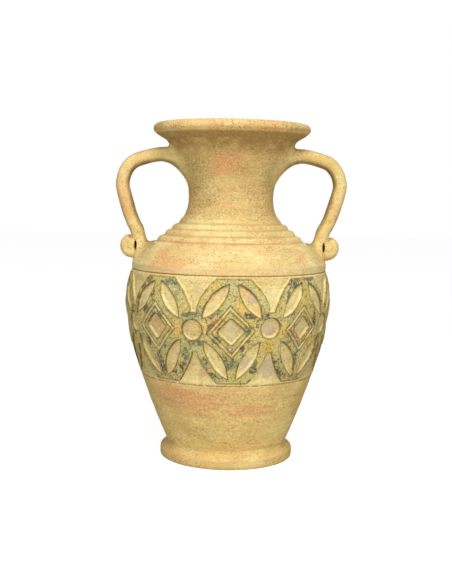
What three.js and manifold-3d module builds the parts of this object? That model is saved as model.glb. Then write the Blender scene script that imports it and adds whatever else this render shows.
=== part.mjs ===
// A two-handled terracotta vase with a carved frieze, thrown in sections and luted together.
// Millimetres, +Z up. The origin is the middle of the face it stands on, and its front faces -Y.
import * as THREE from 'three';
import { mergeVertices } from 'three/addons/utils/BufferGeometryUtils.js';
import Module from 'manifold-3d';

const wasm = await Module();
wasm.setup();

// Heights of the thrown sections, which stand on each other
const FOOT_HEIGHT = 18;
const LOWER_WALL_HEIGHT = 71;
const FRIEZE_HEIGHT = 108.4;
const SHOULDER_HEIGHT = 52.6;
const NECK_HEIGHT = 81;
const LIP_HEIGHT = 17;

// Outer radii, from the foot up
const FOOT_BASE_RADIUS = 68.4;
const FOOT_RADIUS = 70.2;
const WAIST_RADIUS = 63.4;
const FRIEZE_LOW_RADIUS = 90.5;
const BELLY_RADIUS = 107.1;
const SHOULDER_RADIUS = 101.6;
const NECK_FOOT_RADIUS = 51;
const NECK_WAIST_RADIUS = 44.2;
const NECK_TOP_RADIUS = 68.2;
const LIP_RADIUS = 81.5;

// Walls and the lap joints between the sections
const WALL = 9;
const TONGUE_WIDTH = 4;
const TONGUE_HEIGHT = 4;
const JOINT_GAP = 0.3;

// Foot
const FLANGE_HEIGHT = 8.5;
const FLANGE_ROUND = 4;
const RECESS_RADIUS = 52;
const RECESS_DEPTH = 3;

// Body
const LOWER_WALL_SWELL = 1.6;
const BELLY_BELOW_SHOULDER = 29.4;
const GROOVE_DEPTH = 1.2;
const GROOVE_HEIGHT = 1.4;
const SHOULDER_WALL_HEIGHT = 7;
const SHOULDER_TURN_INSET = 2;
const RIDGE_START_RADIUS = 81.2;
const RIDGE_START_DROP = 24.8;
const RIDGE_COUNT = 4;
const RIDGE_DEPTH = 1.1;
const LAST_CREST_OUT = 2;
const LAST_CREST_DROP = 1.5;
const LINING_WALL_HEIGHT = 1.5;

// Neck and lip
const NECK_WAIST_RISE = 23;
const LIP_BULGE_RISE = 11;
const LIP_CROWN_RADIUS = 74.5;

// Frieze: one repeat has a lozenge, four petals round it, and a disc between two spandrels
const REPEAT_WIDTH = 74.8;
const FRONT_TURN = 1.5;
const HAND_SPACING = 3.4;
const RELIEF_DEPTH = 2.6;
const UPPER_RIM = 1.6;
const LOWER_RIM = 3.6;
const PETAL_WIDTH = 12.6;
const PETAL_END_MARGIN = 6;
const PETAL_OUTER_OFFSET = 4.6;
const PETAL_INNER_OFFSET = 28;
const PETAL_INNER_RISE = 13.5;
const LOZENGE_HALF_WIDTH = 12.2;
const LOZENGE_HALF_HEIGHT = 12.6;
const DISC_RADIUS = 10.2;
const DISC_RISE = 2.4;
const SPANDREL_HALF_WIDTH = 18.6;
const SPANDREL_TIP_RISE = 20;
const SPANDREL_TIP_HALF_WIDTH = 1.8;
const SPANDREL_WAIST = 4.6;
const SPANDREL_DEPTH = 3;

// Handles
const HANDLE_REACH = 120.4;
const STRAP_THICKNESS = 14.4;
const STRAP_WIDTH = 22;
const ROOT_THICKNESS = 42;
const ROOT_WIDTH = 40;
const ARCH_DROP = 14.6;
const CURL_RADIUS = 7.2;
const CURL_THICKNESS = 11;
const CURL_OVERHANG = 0.4;
const CURL_RISE = 23.5;

// The strap's way to the curl, as shares: how far out from the neck's waist to the limb, how far down from
// the arch to the curl, and how swollen, from 0 on the plain strap to 1 where the root meets the neck
const STRAP_WAY = [
  [-0.116, 0.103, 1.3],
  [0.043, 0.066, 1],
  [0.174, 0.017, 0.52],
  [0.304, 0, 0.22],
  [0.478, 0.006, 0],
  [0.786, 0.066, 0],
  [0.923, 0.15, 0],
  [0.991, 0.265, 0],
  [0.994, 0.375, 0],
  [0.906, 0.602, 0],
  [0.835, 0.733, 0],
  [0.768, 0.838, 0],
];

// The curl runs between these turns, in degrees, thins over its first part, and its tip is rounded off
const CURL_FROM = 185;
const CURL_TO = 413;
const CURL_STEP = 38;
const CURL_THINNING = 90;
const TIP_TAPER = 0.7;

// Where the curves' controls lie, as shares of the way from one end of a curve to its other end
const FOOT_COVE = 0.45;
const LOWER_BELLY = 0.58;
const UPPER_BELLY = 0.56;
const SHOULDER_TURN = 0.26;
const RIDGE_GROOVE = 0.4;
const NECK_HIP_OUT = 0.3;
const NECK_HIP_UP = 0.22;
const NECK_WAIST_LOW = 0.6;
const NECK_WAIST_HIGH = 0.38;
const NECK_FLARE_OUT = 0.71;
const NECK_FLARE_UP = 0.88;
const LIP_COVE = 0.3;
const LIP_UNDER = 0.62;
const LIP_ROUND = 0.58;
const LIP_CROWN = 0.68;
const SPANDREL_BEND = 0.4;

// Facets
const SEGMENTS = 40;
const PROFILE_STEPS = 3;
const BODY_STEPS = 4;
const NECK_STEPS = 5;
const LINING_STEPS = 3;
const NECK_LINING_STEPS = 4;
const PETAL_STEPS = 5;
const DISC_STEPS = 10;
const STRAP_SIDES = 10;
const SECTION_SOFTNESS = 0.8;
const RINGS_PER_STATION = 2;
const WELD = 1e-4;

// Fired clay without a glaze
const CLAY_ROUGHNESS = 0.94;

// Heights of the seams
const WAIST_Z = FOOT_HEIGHT;
const FRIEZE_Z = WAIST_Z + LOWER_WALL_HEIGHT;
const SHOULDER_Z = FRIEZE_Z + FRIEZE_HEIGHT;
const NECK_Z = SHOULDER_Z + SHOULDER_HEIGHT;
const LIP_Z = NECK_Z + NECK_HEIGHT;
const TOP_Z = LIP_Z + LIP_HEIGHT;

const REPEATS = Math.round((2 * Math.PI * BELLY_RADIUS) / REPEAT_WIDTH);

const radians = THREE.MathUtils.degToRad;
const { lerp } = THREE.MathUtils;
const point = (r, z) => new THREE.Vector2(r, z);

// A closed or axis-to-axis outline (radius, height), anticlockwise, turned round the Z axis
function turned(outline) {
  const geometry = new THREE.LatheGeometry(outline, SEGMENTS);
  geometry.rotateX(Math.PI / 2);
  return geometry;
}

function solidOf(geometry) {
  const bare = geometry.clone();
  bare.deleteAttribute('normal');
  bare.deleteAttribute('uv');
  const welded = mergeVertices(bare, WELD);
  return new wasm.Manifold(new wasm.Mesh({
    numProp: 3,
    vertProperties: new Float32Array(welded.attributes.position.array),
    triVerts: new Uint32Array(welded.index.array),
  }));
}

function geometryOf(solid) {
  const mesh = solid.getMesh();
  const geometry = new THREE.BufferGeometry();
  geometry.setAttribute('position', new THREE.BufferAttribute(mesh.vertProperties, 3));
  geometry.setIndex(new THREE.BufferAttribute(mesh.triVerts, 1));
  geometry.computeVertexNormals();
  return geometry;
}

// Radius of an upward outline at a height
function radiusAt(outline, z) {
  const i = Math.max(1, outline.findIndex((p) => p.y >= z));
  const [low, high] = [outline[i - 1], outline[i]];
  return THREE.MathUtils.mapLinear(z, low.y, high.y, low.x, high.x);
}

// How far an upward outline leans outwards at a height, as an angle
function slopeAt(outline, z) {
  const i = Math.max(1, outline.findIndex((p) => p.y >= z));
  const [low, high] = [outline[i - 1], outline[i]];
  return Math.atan2(high.x - low.x, high.y - low.y);
}

// The outline moved outwards by a gap, square to itself
function grown(outline, gap) {
  return outline.map((p, i) => {
    const before = outline[Math.max(0, i - 1)];
    const after = outline[Math.min(outline.length - 1, i + 1)];
    const along = after.clone().sub(before).normalize();
    return point(p.x + gap * along.y, p.y - gap * along.x);
  });
}

// Outer outlines of the sections, each from its lower seam to its upper one
function lowerWallOutline() {
  const path = new THREE.Path();
  path.moveTo(WAIST_RADIUS, WAIST_Z);
  const swell = (WAIST_RADIUS + FRIEZE_LOW_RADIUS) / 2 + LOWER_WALL_SWELL;
  path.quadraticCurveTo(swell, (WAIST_Z + FRIEZE_Z) / 2, FRIEZE_LOW_RADIUS, FRIEZE_Z);
  return path.getPoints(BODY_STEPS);
}

function friezeOutline() {
  const belly = SHOULDER_Z - BELLY_BELOW_SHOULDER;
  const lowerTurn = lerp(FRIEZE_Z, belly, LOWER_BELLY);
  const upperTurn = lerp(belly, SHOULDER_Z, UPPER_BELLY);
  const path = new THREE.Path();
  path.moveTo(FRIEZE_LOW_RADIUS, FRIEZE_Z);
  path.quadraticCurveTo(BELLY_RADIUS, lowerTurn, BELLY_RADIUS, belly);
  path.quadraticCurveTo(BELLY_RADIUS, upperTurn, SHOULDER_RADIUS, SHOULDER_Z);
  return path.getPoints(BODY_STEPS);
}

// A turned groove under a short upright wall, a round turn inwards, and a slope with throwing ridges
function shoulderOutline() {
  const edge = SHOULDER_Z + SHOULDER_WALL_HEIGHT;
  const ridgeStart = NECK_Z - RIDGE_START_DROP;
  const path = new THREE.Path();
  path.moveTo(SHOULDER_RADIUS - GROOVE_DEPTH, SHOULDER_Z);
  path.lineTo(SHOULDER_RADIUS, SHOULDER_Z + GROOVE_HEIGHT);
  path.lineTo(SHOULDER_RADIUS, edge);
  const turn = lerp(edge, ridgeStart, SHOULDER_TURN);
  path.quadraticCurveTo(SHOULDER_RADIUS - SHOULDER_TURN_INSET, turn, RIDGE_START_RADIUS, ridgeStart);
  const first = point(RIDGE_START_RADIUS, ridgeStart);
  const last = point(NECK_FOOT_RADIUS + LAST_CREST_OUT, NECK_Z - LAST_CREST_DROP);
  const inwards = last.clone().sub(first).normalize();
  for (let i = 1; i <= RIDGE_COUNT; i += 1) {
    const groove = first.clone().lerp(last, (i - 1 + RIDGE_GROOVE) / RIDGE_COUNT);
    const crest = first.clone().lerp(last, i / RIDGE_COUNT);
    path.lineTo(groove.x - RIDGE_DEPTH * inwards.y, groove.y + RIDGE_DEPTH * inwards.x);
    path.lineTo(crest.x, crest.y);
  }
  path.lineTo(NECK_FOOT_RADIUS, NECK_Z);
  return path.getPoints(BODY_STEPS);
}

function neckOutline() {
  const waist = NECK_Z + NECK_WAIST_RISE;
  const foot = (share) => lerp(NECK_Z, waist, share);
  const flare = (share) => lerp(waist, LIP_Z, share);
  const path = new THREE.Path();
  path.moveTo(NECK_FOOT_RADIUS, NECK_Z);
  const hip = lerp(NECK_WAIST_RADIUS, NECK_FOOT_RADIUS, NECK_HIP_OUT);
  path.bezierCurveTo(
    hip, foot(NECK_HIP_UP),
    NECK_WAIST_RADIUS, foot(NECK_WAIST_LOW),
    NECK_WAIST_RADIUS, waist,
  );
  const throat = lerp(NECK_WAIST_RADIUS, NECK_TOP_RADIUS, NECK_FLARE_OUT);
  path.bezierCurveTo(
    NECK_WAIST_RADIUS, flare(NECK_WAIST_HIGH),
    throat, flare(NECK_FLARE_UP),
    NECK_TOP_RADIUS, LIP_Z,
  );
  return path.getPoints(NECK_STEPS);
}

const tongueRadius = (radius) => radius - WALL + TONGUE_WIDTH;

// The closed outline of a section of wall, with a tongue on its top and a rebate over the one below
function wallSection(outer, radiusBelow, lining) {
  const low = outer[0];
  const high = outer.at(-1);
  const seat = tongueRadius(radiusBelow) + JOINT_GAP;
  return [
    ...outer,
    point(tongueRadius(high.x), high.y),
    point(tongueRadius(high.x), high.y + TONGUE_HEIGHT),
    point(high.x - WALL, high.y + TONGUE_HEIGHT),
    ...lining,
    point(seat, low.y + TONGUE_HEIGHT + JOINT_GAP),
    point(seat, low.y),
    low.clone(),
  ];
}

// The inner face of a wall that keeps its thickness, from the top down to the rebate's ceiling
function evenLining(outer, steps) {
  const ceiling = outer[0].y + TONGUE_HEIGHT + JOINT_GAP;
  const top = outer.at(-1).y;
  return Array.from({ length: steps + 1 }, (_, i) => {
    const z = lerp(top, ceiling, i / steps);
    return point(radiusAt(outer, z) - WALL, z);
  });
}

// A solid plinth, hollowed a little underneath, whose raised boss is the vase's floor
function footGeometry() {
  const path = new THREE.Path();
  path.moveTo(0, RECESS_DEPTH);
  path.lineTo(RECESS_RADIUS, RECESS_DEPTH);
  path.lineTo(RECESS_RADIUS + RECESS_DEPTH, 0);
  path.lineTo(FOOT_BASE_RADIUS, 0);
  path.quadraticCurveTo(FOOT_RADIUS, 0, FOOT_RADIUS, FLANGE_ROUND);
  path.lineTo(FOOT_RADIUS, FLANGE_HEIGHT);
  const cove = lerp(FLANGE_HEIGHT, FOOT_HEIGHT, FOOT_COVE);
  path.bezierCurveTo(FOOT_RADIUS, cove, WAIST_RADIUS, cove, WAIST_RADIUS, FOOT_HEIGHT);
  const boss = tongueRadius(WAIST_RADIUS);
  path.lineTo(boss, FOOT_HEIGHT);
  path.lineTo(boss, FOOT_HEIGHT + TONGUE_HEIGHT);
  path.lineTo(0, FOOT_HEIGHT + TONGUE_HEIGHT);
  return turned(path.getPoints(PROFILE_STEPS));
}

function lowerWallGeometry() {
  const outer = lowerWallOutline();
  return turned(wallSection(outer, WAIST_RADIUS, evenLining(outer, LINING_STEPS)));
}

function shoulderGeometry() {
  const outer = shoulderOutline();
  const ceiling = SHOULDER_Z + TONGUE_HEIGHT + JOINT_GAP;
  const lining = [
    point(NECK_FOOT_RADIUS - WALL, NECK_Z - TONGUE_HEIGHT),
    point(SHOULDER_RADIUS - WALL, ceiling + LINING_WALL_HEIGHT),
    point(SHOULDER_RADIUS - WALL, ceiling),
  ];
  return turned(wallSection(outer, SHOULDER_RADIUS, lining));
}

function neckGeometry() {
  const outer = neckOutline();
  return turned(wallSection(outer, NECK_FOOT_RADIUS, evenLining(outer, NECK_LINING_STEPS)));
}

// The rolled lip: a cove under a full round edge, and a mouth that opens upwards
function lipGeometry() {
  const seat = tongueRadius(NECK_TOP_RADIUS) + JOINT_GAP;
  const ceiling = LIP_Z + TONGUE_HEIGHT + JOINT_GAP;
  const bulge = LIP_Z + LIP_BULGE_RISE;
  const path = new THREE.Path();
  path.moveTo(NECK_TOP_RADIUS, LIP_Z);
  const cove = lerp(LIP_Z, bulge, LIP_COVE);
  const under = lerp(LIP_Z, bulge, LIP_UNDER);
  path.bezierCurveTo(NECK_TOP_RADIUS + WALL / 2, cove, LIP_RADIUS, under, LIP_RADIUS, bulge);
  const round = lerp(bulge, TOP_Z, LIP_ROUND);
  const crown = lerp(LIP_CROWN_RADIUS, LIP_RADIUS, LIP_CROWN);
  path.bezierCurveTo(LIP_RADIUS, round, crown, TOP_Z, LIP_CROWN_RADIUS, TOP_Z);
  path.quadraticCurveTo(seat + TONGUE_WIDTH, TOP_Z, seat, ceiling);
  path.lineTo(seat, LIP_Z);
  path.lineTo(NECK_TOP_RADIUS, LIP_Z);
  return turned(path.getPoints(PROFILE_STEPS));
}

// Two equal arcs that meet at both tips, leaning from the upright
function petal(half, lean) {
  const sagitta = PETAL_WIDTH / 2;
  const radius = (half * half + sagitta * sagitta) / (2 * sagitta);
  const swing = Math.asin(half / radius);
  const arc = (side) => Array.from({ length: PETAL_STEPS }, (_, i) => {
    const angle = side * lerp(-swing, swing, i / PETAL_STEPS);
    return point(side * (radius * Math.cos(angle) - radius + sagitta), radius * Math.sin(angle));
  });
  return [...arc(1), ...arc(-1)].map((p) => p.rotateAround(point(0, 0), lean));
}

function lozenge() {
  return [
    point(LOZENGE_HALF_WIDTH, 0),
    point(0, LOZENGE_HALF_HEIGHT),
    point(-LOZENGE_HALF_WIDTH, 0),
    point(0, -LOZENGE_HALF_HEIGHT),
  ];
}

function disc() {
  return Array.from({ length: DISC_STEPS }, (_, i) => {
    const angle = (2 * Math.PI * i) / DISC_STEPS;
    return point(DISC_RADIUS * Math.cos(angle), DISC_RADIUS * Math.sin(angle));
  });
}

// A triangle with hollow sides and a blunt tip, whose base runs along the frieze's rim
function spandrel(tip, base) {
  const waist = lerp(tip, base, SPANDREL_BEND);
  const path = new THREE.Path();
  path.moveTo(-SPANDREL_TIP_HALF_WIDTH, tip);
  path.quadraticCurveTo(-SPANDREL_WAIST, waist, -SPANDREL_HALF_WIDTH, base);
  path.lineTo(SPANDREL_HALF_WIDTH, base);
  path.quadraticCurveTo(SPANDREL_WAIST, waist, SPANDREL_TIP_HALF_WIDTH, tip);
  return path.getPoints(PROFILE_STEPS);
}

// A flat-floored cutter sunk square into the wall at a height and a turn of the frieze
function punch(outer, outline, { height, turn, depth }) {
  const shape = new THREE.Shape(outline);
  const geometry = new THREE.ExtrudeGeometry(shape, { depth: depth + WALL, bevelEnabled: false });
  geometry.translate(0, 0, -depth);
  geometry.rotateX(Math.PI / 2 + slopeAt(outer, height));
  geometry.translate(0, -radiusAt(outer, height), height);
  geometry.rotateZ(turn);
  return solidOf(geometry);
}

// Where the nth half repeat lies: the carver spaced them by eye, a little wider at the front
function turnOf(halves) {
  const even = (halves * Math.PI) / REPEATS;
  return radians(FRONT_TURN) + even + radians(HAND_SPACING) * Math.sin(even);
}

// The four petals round a lozenge, leaning outwards from its top and bottom
function petals(outer, middle, rise, turn) {
  const end = rise - PETAL_END_MARGIN;
  const corners = [[-1, -1], [-1, 1], [1, -1], [1, 1]];
  return corners.map(([side, up]) => {
    const height = middle + (up * (end + PETAL_INNER_RISE)) / 2;
    const across = ((PETAL_INNER_OFFSET - PETAL_OUTER_OFFSET) * radiusAt(outer, height)) / BELLY_RADIUS;
    const upwards = (end - PETAL_INNER_RISE) / Math.cos(slopeAt(outer, height));
    const outline = petal(Math.hypot(across, upwards) / 2, side * up * Math.atan2(across, upwards));
    const offset = (side * (PETAL_OUTER_OFFSET + PETAL_INNER_OFFSET)) / 2 / BELLY_RADIUS;
    return punch(outer, outline, { height, turn: turn + offset, depth: RELIEF_DEPTH });
  });
}

// The two spandrels above and below a disc
function spandrels(outer, middle, rise, turn) {
  return [-1, 1].map((up) => {
    const height = middle + (up * (rise + SPANDREL_TIP_RISE)) / 2;
    const half = (rise - SPANDREL_TIP_RISE) / 2 / Math.cos(slopeAt(outer, height));
    return punch(outer, spandrel(-up * half, up * half), { height, turn, depth: SPANDREL_DEPTH });
  });
}

// The carved band of the belly: the ground is cut away and the ribbons keep the wall's own face
function friezeGeometry() {
  const outer = friezeOutline();
  const rise = (FRIEZE_HEIGHT - LOWER_RIM - UPPER_RIM) / 2;
  const middle = FRIEZE_Z + LOWER_RIM + rise;
  let band = solidOf(turned(wallSection(outer, FRIEZE_LOW_RADIUS, evenLining(outer, LINING_STEPS))));
  for (let i = 0; i < REPEATS; i += 1) {
    const front = turnOf(2 * i);
    const between = turnOf(2 * i + 1);
    const cutters = [
      ...petals(outer, middle, rise, front),
      punch(outer, lozenge(), { height: middle, turn: front, depth: RELIEF_DEPTH }),
      punch(outer, disc(), { height: middle + DISC_RISE, turn: between, depth: RELIEF_DEPTH }),
      ...spandrels(outer, middle, rise, between),
    ];
    for (const cutter of cutters) {
      band = band.subtract(cutter);
    }
  }
  return geometryOf(band);
}

// The strap's spine and section: out of the neck, round, down to the shoulder, and curled up again
function strapStations() {
  const arch = LIP_Z - ARCH_DROP;
  const limb = HANDLE_REACH - STRAP_THICKNESS / 2;
  const curlX = SHOULDER_RADIUS + CURL_OVERHANG;
  const curlZ = SHOULDER_Z + CURL_RISE;
  const strap = ([out, down, swell]) => ({
    x: lerp(NECK_WAIST_RADIUS, limb, out),
    z: lerp(arch, curlZ, down),
    thick: lerp(STRAP_THICKNESS, ROOT_THICKNESS, swell),
    wide: lerp(STRAP_WIDTH, ROOT_WIDTH, swell),
  });
  const curl = (turn) => {
    const share = Math.min(1, (turn - CURL_FROM) / CURL_THINNING);
    const taper = turn === CURL_TO ? TIP_TAPER : 1;
    return {
      x: curlX + CURL_RADIUS * Math.cos(radians(turn)),
      z: curlZ + CURL_RADIUS * Math.sin(radians(turn)),
      thick: lerp(STRAP_THICKNESS, CURL_THICKNESS, share) * taper,
      wide: STRAP_WIDTH * taper,
    };
  };
  const stations = STRAP_WAY.map(strap);
  for (let turn = CURL_FROM; turn <= CURL_TO; turn += CURL_STEP) {
    stations.push(curl(turn));
  }
  return stations;
}

// A closed strap of softened oblong section along a spine in the XZ plane
function sweptStrap(stations) {
  const curveOf = (toPoint) => new THREE.CatmullRomCurve3(stations.map(toPoint));
  const spine = curveOf((s) => new THREE.Vector3(s.x, 0, s.z));
  const sizes = curveOf((s) => new THREE.Vector3(s.thick / 2, s.wide / 2, 0));
  const rings = (stations.length - 1) * RINGS_PER_STATION;
  const soften = (v) => Math.sign(v) * Math.abs(v) ** SECTION_SOFTNESS;
  const positions = [];
  const triangles = [];
  const corner = (i, k) => i * STRAP_SIDES + (k % STRAP_SIDES);
  for (let i = 0; i <= rings; i += 1) {
    const middle = spine.getPoint(i / rings);
    const along = spine.getTangent(i / rings);
    const size = sizes.getPoint(i / rings);
    for (let k = 0; k < STRAP_SIDES; k += 1) {
      const angle = (2 * Math.PI * k) / STRAP_SIDES;
      const out = size.x * soften(Math.cos(angle));
      const aside = size.y * soften(Math.sin(angle));
      positions.push(middle.x + out * along.z, aside, middle.z - out * along.x);
      if (i < rings) {
        triangles.push(corner(i, k), corner(i, k + 1), corner(i + 1, k + 1));
        triangles.push(corner(i, k), corner(i + 1, k + 1), corner(i + 1, k));
      }
    }
  }
  for (let k = 1; k < STRAP_SIDES - 1; k += 1) {
    triangles.push(corner(0, 0), corner(0, k + 1), corner(0, k));
    triangles.push(corner(rings, 0), corner(rings, k), corner(rings, k + 1));
  }
  const geometry = new THREE.BufferGeometry();
  geometry.setAttribute('position', new THREE.Float32BufferAttribute(positions, 3));
  geometry.setIndex(triangles);
  return geometry;
}

// A handle ends on the neck and the shoulder, a joint's gap off their faces. The pot is taken without the
// groove at the shoulder's lower edge.
function handleGeometry() {
  const wall = [...friezeOutline(), ...shoulderOutline().slice(2), ...neckOutline().slice(1)];
  const above = [point(NECK_TOP_RADIUS, TOP_Z), point(0, TOP_Z)];
  const pot = solidOf(turned([point(0, FRIEZE_Z), ...grown(wall, JOINT_GAP), ...above]));
  return geometryOf(solidOf(sweptStrap(strapStations())).subtract(pot));
}

function piece(name, geometry, color) {
  const material = new THREE.MeshStandardMaterial({ color, roughness: CLAY_ROUGHNESS, metalness: 0 });
  const mesh = new THREE.Mesh(geometry, material);
  mesh.name = name;
  return mesh;
}

const vase = new THREE.Group();
vase.add(piece('foot', footGeometry(), 0xd4a96c));
vase.add(piece('lower_wall', lowerWallGeometry(), 0xdcb87c));
vase.add(piece('frieze_band', friezeGeometry(), 0xd3c184));
vase.add(piece('shoulder', shoulderGeometry(), 0xe6c88c));
vase.add(piece('neck', neckGeometry(), 0xcfb176));
vase.add(piece('lip', lipGeometry(), 0xdcb679));
vase.add(piece('handle_right', handleGeometry(), 0xe2bd80));
const leftHandle = piece('handle_left', handleGeometry(), 0xe0b87a);
leftHandle.rotation.z = Math.PI;
vase.add(leftHandle);

export default vase;
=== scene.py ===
import math

import bpy
import numpy as np
from mathutils import Matrix, Vector


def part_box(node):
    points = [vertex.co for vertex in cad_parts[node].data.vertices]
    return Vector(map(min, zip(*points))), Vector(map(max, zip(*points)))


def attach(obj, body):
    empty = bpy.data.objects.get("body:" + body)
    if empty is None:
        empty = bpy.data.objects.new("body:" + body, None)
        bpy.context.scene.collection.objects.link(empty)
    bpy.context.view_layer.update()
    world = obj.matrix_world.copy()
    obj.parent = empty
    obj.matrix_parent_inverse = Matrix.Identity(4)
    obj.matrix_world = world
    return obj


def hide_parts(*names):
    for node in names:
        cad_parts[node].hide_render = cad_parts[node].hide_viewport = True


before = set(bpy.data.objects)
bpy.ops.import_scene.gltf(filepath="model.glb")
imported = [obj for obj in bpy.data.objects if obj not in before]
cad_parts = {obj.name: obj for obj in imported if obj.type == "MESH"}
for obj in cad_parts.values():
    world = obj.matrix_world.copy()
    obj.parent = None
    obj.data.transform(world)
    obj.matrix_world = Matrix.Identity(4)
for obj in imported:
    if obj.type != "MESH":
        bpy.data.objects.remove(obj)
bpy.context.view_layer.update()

MM = 0.001


def low(node):
    """Lowest height of a CAD node."""
    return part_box(node)[0].z / MM


def reach(node):
    """How far a CAD node reaches along +X."""
    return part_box(node)[1].x / MM


# Seams, top and widest places, from the CAD parts
WAIST_Z = low("lower_wall")
FRIEZE_Z = low("frieze_band")
SHOULDER_Z = low("shoulder")
NECK_Z = low("neck")
LIP_Z = low("lip")
TOP_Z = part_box("lip")[1].z / MM
FOOT_RADIUS = reach("foot")
BELLY_RADIUS = reach("frieze_band")
LIP_RADIUS = reach("lip")
HANDLE_REACH = reach("handle_right")

# Other radii of the outer face. The sill is the frieze's foot, the throat the neck's, the flare the lip's.
FOOT_BASE_RADIUS = FOOT_RADIUS - 1.8
WAIST_RADIUS = 63.4
SILL_RADIUS = 90.5
SHOULDER_RADIUS = 101.6
THROAT_RADIUS = 51
NECK_RADIUS = 44.2
FLARE_RADIUS = 68.2
CROWN_RADIUS = 74.5

# Heights on the outer face
BELLY_Z = SHOULDER_Z - 29.4
SHOULDER_EDGE_Z = SHOULDER_Z + 7
NECK_WAIST_Z = NECK_Z + 23
LIP_BULGE_Z = LIP_Z + 11

# Walls and joints
WALL = 9
TONGUE = 4
JOINT_GAP = 0.3
RECESS_RADIUS = 52
RECESS_DEPTH = 3

# The throwing ridges lie along a line up the shoulder's slope
RIDGE_START = np.array([81.2, NECK_Z - 24.8])
RIDGE_END = np.array([THROAT_RADIUS + 0.3, NECK_Z - 0.2])
RIDGE_LENGTH = np.linalg.norm(RIDGE_END - RIDGE_START)
RIDGE_ALONG = (RIDGE_END - RIDGE_START) / RIDGE_LENGTH
RIDGE_OUT = np.array([RIDGE_ALONG[1], -RIDGE_ALONG[0]])

# Relief of the outer face
WALL_SWELL = 1.6
GROOVE_DEPTH = 1.3
RIDGE_DEPTH = 1.5
RIDGE_COUNT = 4
RIDGE_SHARPNESS = 1.3
WOBBLE = 0.3
THROWING_LINES = 0.13
GRAIN = 0.05

# Fineness of the meshes: steps between rows, and columns in a turn
OUTER_STEP = 0.8
RIDGE_STEP = 0.55
MOUTH_STEP = 1.2
INNER_STEP = 3
COLUMNS = 600
FRIEZE_STEP = 0.7
FRIEZE_COLUMNS = 1080
CAP_RADIUS = 3

# Frieze. Its cuts have a wide bevel on their lower walls, and widest in the petals.
RELIEF_DEPTH = 2.6
SPANDREL_DEPTH = 2.8
PILLOW = 0.5
CUT_SOFTNESS = 1.1
LOWER_BEVEL = 3.2
OTHER_BEVELS = 0.55
UPPER_RIM = 2
LOWER_RIM = 3.2
WANDER_RADIUS = 107

# Four petals stand round a lozenge, from tips near the rims to ends beside the middle. The heart and the rib
# round it are lozenges, given by half their width, half their height and their rounding.
PETAL_TIP = 4.7
PETAL_RIM = 5
PETAL_REACH = 28.8
PETAL_ENDS = ((1, 14), (-1, 9.4))
PETAL_WIDTH = 13.2
PETALS_ASIDE = 0.9
HEART = (12.6, 12.6, 3)
HEART_LIFT = 0.8
RIB = (24, 25.8, 0.6)
RIB_INSET = 1.8
RIB_HEIGHT = 0.6
RIB_GROOVES = 0.8
GROOVE_WIDTH = 0.6
DISC_RADIUS = 10
SPANDREL_ASIDE = 1.4
SPANDREL_TIP = 20
SPANDREL_BASE = 6

# Groups of petals: turn from the front in degrees, and then the lozenge's turn, height above
# the middle, tilt in degrees and share of full size
GROUPS = [
    (2.6, 2.1, 0.3, 3.3, 1), (46, 44.3, 1.8, 0, 0.9), (85.3, 85, 0.6, 1, 1), (124.6, 124.4, 0, -1, 0.96),
    (162.8, 163, 0.8, 0, 1), (200.4, 200.2, 0.2, 2, 0.98), (238.6, 238.8, 0.7, -1, 1),
    (278.2, 278, 0.2, 0, 0.97), (318.2, 318.6, 2.2, 0, 0.97),
]
# The discs between them: turn, and height above the middle
DISCS = [
    (23.5, 4.2), (65.1, 3.4), (105, 3.2), (143.9, 2.6), (181.6, 3.2), (219.4, 2.5), (258.2, 3),
    (298.4, 3.6), (341.2, 1.8),
]

# The vase leans a little to the picture's right, about this height, and its axis sways once on its way up
LEAN = 0.0047
LEAN_ABOUT = 130
SWAY = 0.6
SWAY_HEIGHT = 290

SEED = 11
LATTICE_SIZE = 64
LATTICE = np.random.default_rng(SEED).uniform(-1, 1, (LATTICE_SIZE,) * 3)
SEED_SPACING = 7.31


def noise(points, scale, seed=0):
    """Smooth noise from -1 to 1 at each point, with lumps about this scale across."""
    cell = points / np.asarray(scale, float) + seed * SEED_SPACING
    corner = np.floor(cell).astype(np.int64)
    share = cell - corner
    share = share * share * (3 - 2 * share)
    value = np.zeros(points.shape[:-1])
    for offset in np.ndindex(2, 2, 2):
        weight = np.prod(np.where(np.array(offset) == 1, share, 1 - share), axis=-1)
        i, j, k = np.moveaxis((corner + offset) % LATTICE_SIZE, -1, 0)
        value += weight * LATTICE[i, j, k]
    return value


def smooth(start, end, value):
    """0 at the start, 1 at the end, and a smooth ramp between."""
    share = np.clip((value - start) / (end - start), 0, 1)
    return share * share * (3 - 2 * share)


def bell(distance, width):
    """1 where the distance is 0, falling off on both sides."""
    return np.exp(-(distance / width) ** 2)


def lerp(a, b, share):
    return a + (b - a) * share


def stacked(*parts):
    """Points from their coordinates, or faces from their corners."""
    return np.stack(np.broadcast_arrays(*parts), axis=-1)


# Outlines are rows of (radius, height)
def curve(*controls, steps=24):
    """Points along a Bezier curve, from its first control to its last."""
    share = np.linspace(0, 1, steps + 1)[:, None]
    layer = [np.array(c, float) * np.ones_like(share) for c in controls]
    while len(layer) > 1:
        layer = [lerp(a, b, share) for a, b in zip(layer, layer[1:])]
    return layer[0]


def joined(*parts):
    """Outline parts end to end, without the points that they share."""
    points = np.vstack([np.atleast_2d(np.array(p, float)) for p in parts])
    fresh = np.r_[True, np.linalg.norm(np.diff(points, axis=0), axis=1) > 1e-6]
    return points[fresh]


def track(points):
    """Distance along an outline at each of its points."""
    return np.r_[0, np.cumsum(np.linalg.norm(np.diff(points, axis=0), axis=1))]


def even(points, step=OUTER_STEP):
    """The outline again, in even steps, with its ends kept."""
    along = track(points)
    places = np.linspace(0, along[-1], max(2, round(along[-1] / step)) + 1)
    return stacked(*[np.interp(places, along, axis) for axis in points.T])


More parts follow.
